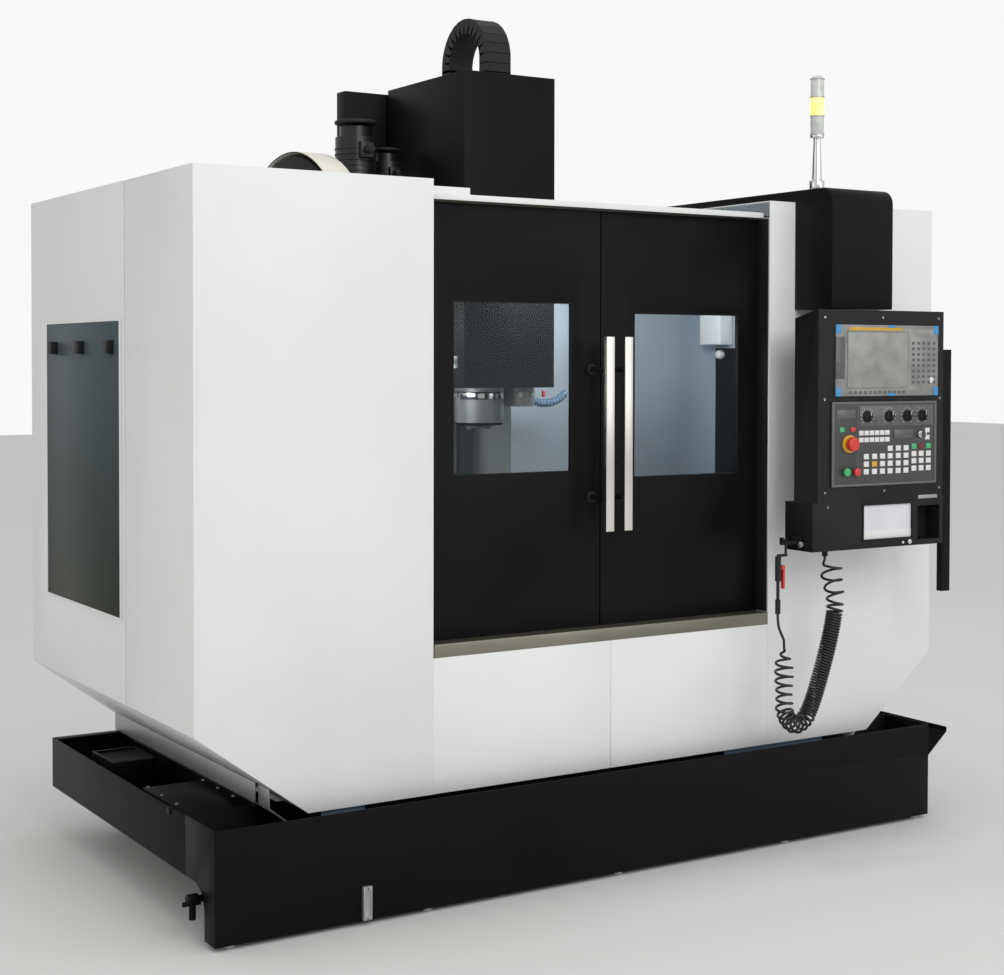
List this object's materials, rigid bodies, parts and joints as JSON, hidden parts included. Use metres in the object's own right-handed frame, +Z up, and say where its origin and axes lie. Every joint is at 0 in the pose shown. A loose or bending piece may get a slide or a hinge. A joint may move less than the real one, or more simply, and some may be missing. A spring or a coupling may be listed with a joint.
{
  "type": "cnc machining center",
  "caption": "Vertical machining center: sheet enclosure with sliding doors, swivelling console, three linear axes, spindle head and tool magazine over a coolant tank.",
  "frame": {"origin": "on the floor, in the middle of the machine's footprint", "axes": "doors and console face -Y, +X to the right seen from the front, +Z up"},
  "size_m": [2.65, 2.33, 2.667],
  "materials": {
    "white_paint": "smooth off-white powder coat",
    "cream_paint": "cream gloss paint",
    "grey_casting": "grey painted cast iron",
    "tank_paint": "black powder coat",
    "door_black": "black satin paint",
    "smoked_sheet": "smoked polycarbonate over dark sheet",
    "pull_steel": "brushed stainless bar",
    "black_sheet": "black satin powder coat",
    "ground_steel": "ground steel",
    "stainless": "brushed stainless sheet",
    "black_plastic": "black moulded plastic",
    "motor_black": "black painted motor housing",
    "pane_glass": "smoked laminated glass",
    "screen_glass": "dark display face",
    "key_foil": "dark grey membrane panel with white keys",
    "console_black": "black powder coat",
    "red_plastic": "red plastic",
    "green_plastic": "green plastic",
    "hose_black": "black polyurethane",
    "lamp_plastic": "coloured lamp lenses",
    "zinc_steel": "zinc plated steel"
  },
  "bodies": {
    "machine": {"bed_casting": "grey_casting", "cable_chain": "black_plastic", "cam_box": "cream_paint", "change_arm": "ground_steel", "column": "grey_casting", "column_cap": "black_sheet", "console_arm": "black_sheet", "door_tracks": "stainless", "drive_motors": "motor_black", "electrical_cabinet": "white_paint", "front_panels": "white_paint", "front_tank": "tank_paint", "inner_liner": "stainless", "left_front_module": "white_paint", "levelling_feet": "zinc_steel", "linear_rails": "ground_steel", "magazine_cover": "cream_paint", "rear_panels": "white_paint", "right_front_module": "white_paint", "roof_panels": "white_paint", "side_panels": "white_paint", "side_troughs": "tank_paint", "signal_tower": "lamp_plastic", "skirt_sheets": "zinc_steel", "tank_fittings": "tank_paint", "window_covers": "smoked_sheet"},
    "left_door_body": {"left_door": "door_black", "left_pane": "pane_glass", "left_pull": "pull_steel"},
    "right_door_body": {"right_door": "door_black", "right_pane": "pane_glass", "right_pull": "pull_steel"},
    "saddle_body": {"saddle": "grey_casting"},
    "table_body": {"table": "ground_steel"},
    "head_body": {"head_casting": "grey_casting", "head_cover": "black_sheet", "spindle_housing": "ground_steel", "spindle_motor": "motor_black", "coolant_nozzle": "black_plastic"},
    "spindle_body": {"spindle": "ground_steel"},
    "magazine_body": {"magazine_disc": "zinc_steel"},
    "console_body": {"console_box": "console_black", "screen_unit": "screen_glass", "key_panel": "key_foil", "console_handle": "black_sheet", "blow_gun": "black_plastic", "hose_tail_top": "hose_black", "hose_coil": "hose_black", "hose_tail_gun": "hose_black"},
    "emergency_stop_body": {"emergency_stop": "red_plastic"},
    "start_button_body": {"start_button": "green_plastic"},
    "stop_button_body": {"stop_button": "red_plastic"},
    "key_switch_body": {"key_switch": "zinc_steel"},
    "trigger_body": {"gun_trigger": "red_plastic"},
    "drain_lever_body": {"drain_lever": "tank_paint"},
    "cabinet_door_body": {"cabinet_door": "white_paint"},
    "knob_1_body": {"knob_1": "black_plastic"},
    "knob_2_body": {"knob_2": "black_plastic"},
    "knob_3_body": {"knob_3": "black_plastic"},
    "knob_4_body": {"knob_4": "black_plastic"}
  },
  "joints": [
    {"name": "left_door_slide", "type": "slide", "parent": "machine", "child": "left_door_body", "axis": [-1, 0, 0], "range_m": [0, 0.54]},
    {"name": "right_door_slide", "type": "slide", "parent": "machine", "child": "right_door_body", "axis": [1, 0, 0], "range_m": [0, 0.54]},
    {"name": "y_axis", "type": "slide", "parent": "machine", "child": "saddle_body", "axis": [0, 1, 0], "range_m": [-0.25, 0.25]},
    {"name": "x_axis", "type": "slide", "parent": "saddle_body", "child": "table_body", "axis": [1, 0, 0], "range_m": [-0.4, 0.4]},
    {"name": "z_axis", "type": "slide", "parent": "machine", "child": "head_body", "axis": [0, 0, 1], "range_m": [-0.27, 0.23], "deforming": ["cable_chain"]},
    {"name": "spindle_turn", "type": "hinge", "parent": "head_body", "child": "spindle_body", "pos_m": [0, -0.13, 1.3], "axis": [0, 0, 1], "continuous": true},
    {"name": "magazine_turn", "type": "hinge", "parent": "machine", "child": "magazine_body", "pos_m": [-0.69, -0.158, 1.738], "axis": [1, 0, 0], "continuous": true},
    {"name": "console_swivel", "type": "hinge", "parent": "machine", "child": "console_body", "pos_m": [0.76, -0.975, 1.56], "axis": [0, 0, 1], "range_deg": [-25, 0]},
    {"name": "emergency_stop_push", "type": "slide", "parent": "console_body", "child": "emergency_stop_body", "axis": [0, 1, 0], "range_m": [0, 0.006]},
    {"name": "start_button_push", "type": "slide", "parent": "console_body", "child": "start_button_body", "axis": [0, 1, 0], "range_m": [0, 0.004], "stiffness_N_per_m": 300},
    {"name": "stop_button_push", "type": "slide", "parent": "console_body", "child": "stop_button_body", "axis": [0, 1, 0], "range_m": [0, 0.004], "stiffness_N_per_m": 300},
    {"name": "knob_1_turn", "type": "hinge", "parent": "console_body", "child": "knob_1_body", "pos_m": [0.769, -1.136, 1.335], "axis": [0, -1, 0], "range_deg": [-135, 135]},
    {"name": "knob_2_turn", "type": "hinge", "parent": "console_body", "child": "knob_2_body", "pos_m": [0.86, -1.136, 1.335], "axis": [0, -1, 0], "range_deg": [-135, 135]},
    {"name": "knob_3_turn", "type": "hinge", "parent": "console_body", "child": "knob_3_body", "pos_m": [0.937, -1.136, 1.335], "axis": [0, -1, 0], "range_deg": [-135, 135]},
    {"name": "knob_4_turn", "type": "hinge", "parent": "console_body", "child": "knob_4_body", "pos_m": [1.001, -1.136, 1.335], "axis": [0, -1, 0], "range_deg": [-135, 135]},
    {"name": "key_turn", "type": "hinge", "parent": "console_body", "child": "key_switch_body", "pos_m": [0.989, -1.136, 1.277], "axis": [0, -1, 0], "range_deg": [0, 90]},
    {"name": "trigger_pull", "type": "hinge", "parent": "console_body", "child": "trigger_body", "pos_m": [0.488, -1.07, 0.885], "axis": [0, 1, 0], "range_deg": [0, 9], "stiffness_Nm_per_rad": 0.3},
    {"name": "drain_lever_turn", "type": "hinge", "parent": "machine", "child": "drain_lever_body", "pos_m": [-1.286, -0.85, 0.112], "axis": [0, -1, 0], "range_deg": [0, 90]},
    {"name": "cabinet_door_swing", "type": "hinge", "parent": "machine", "child": "cabinet_door_body", "pos_m": [-0.488, 1.148, 1.145], "axis": [0, 0, 1], "range_deg": [0, 110]}
  ]
}
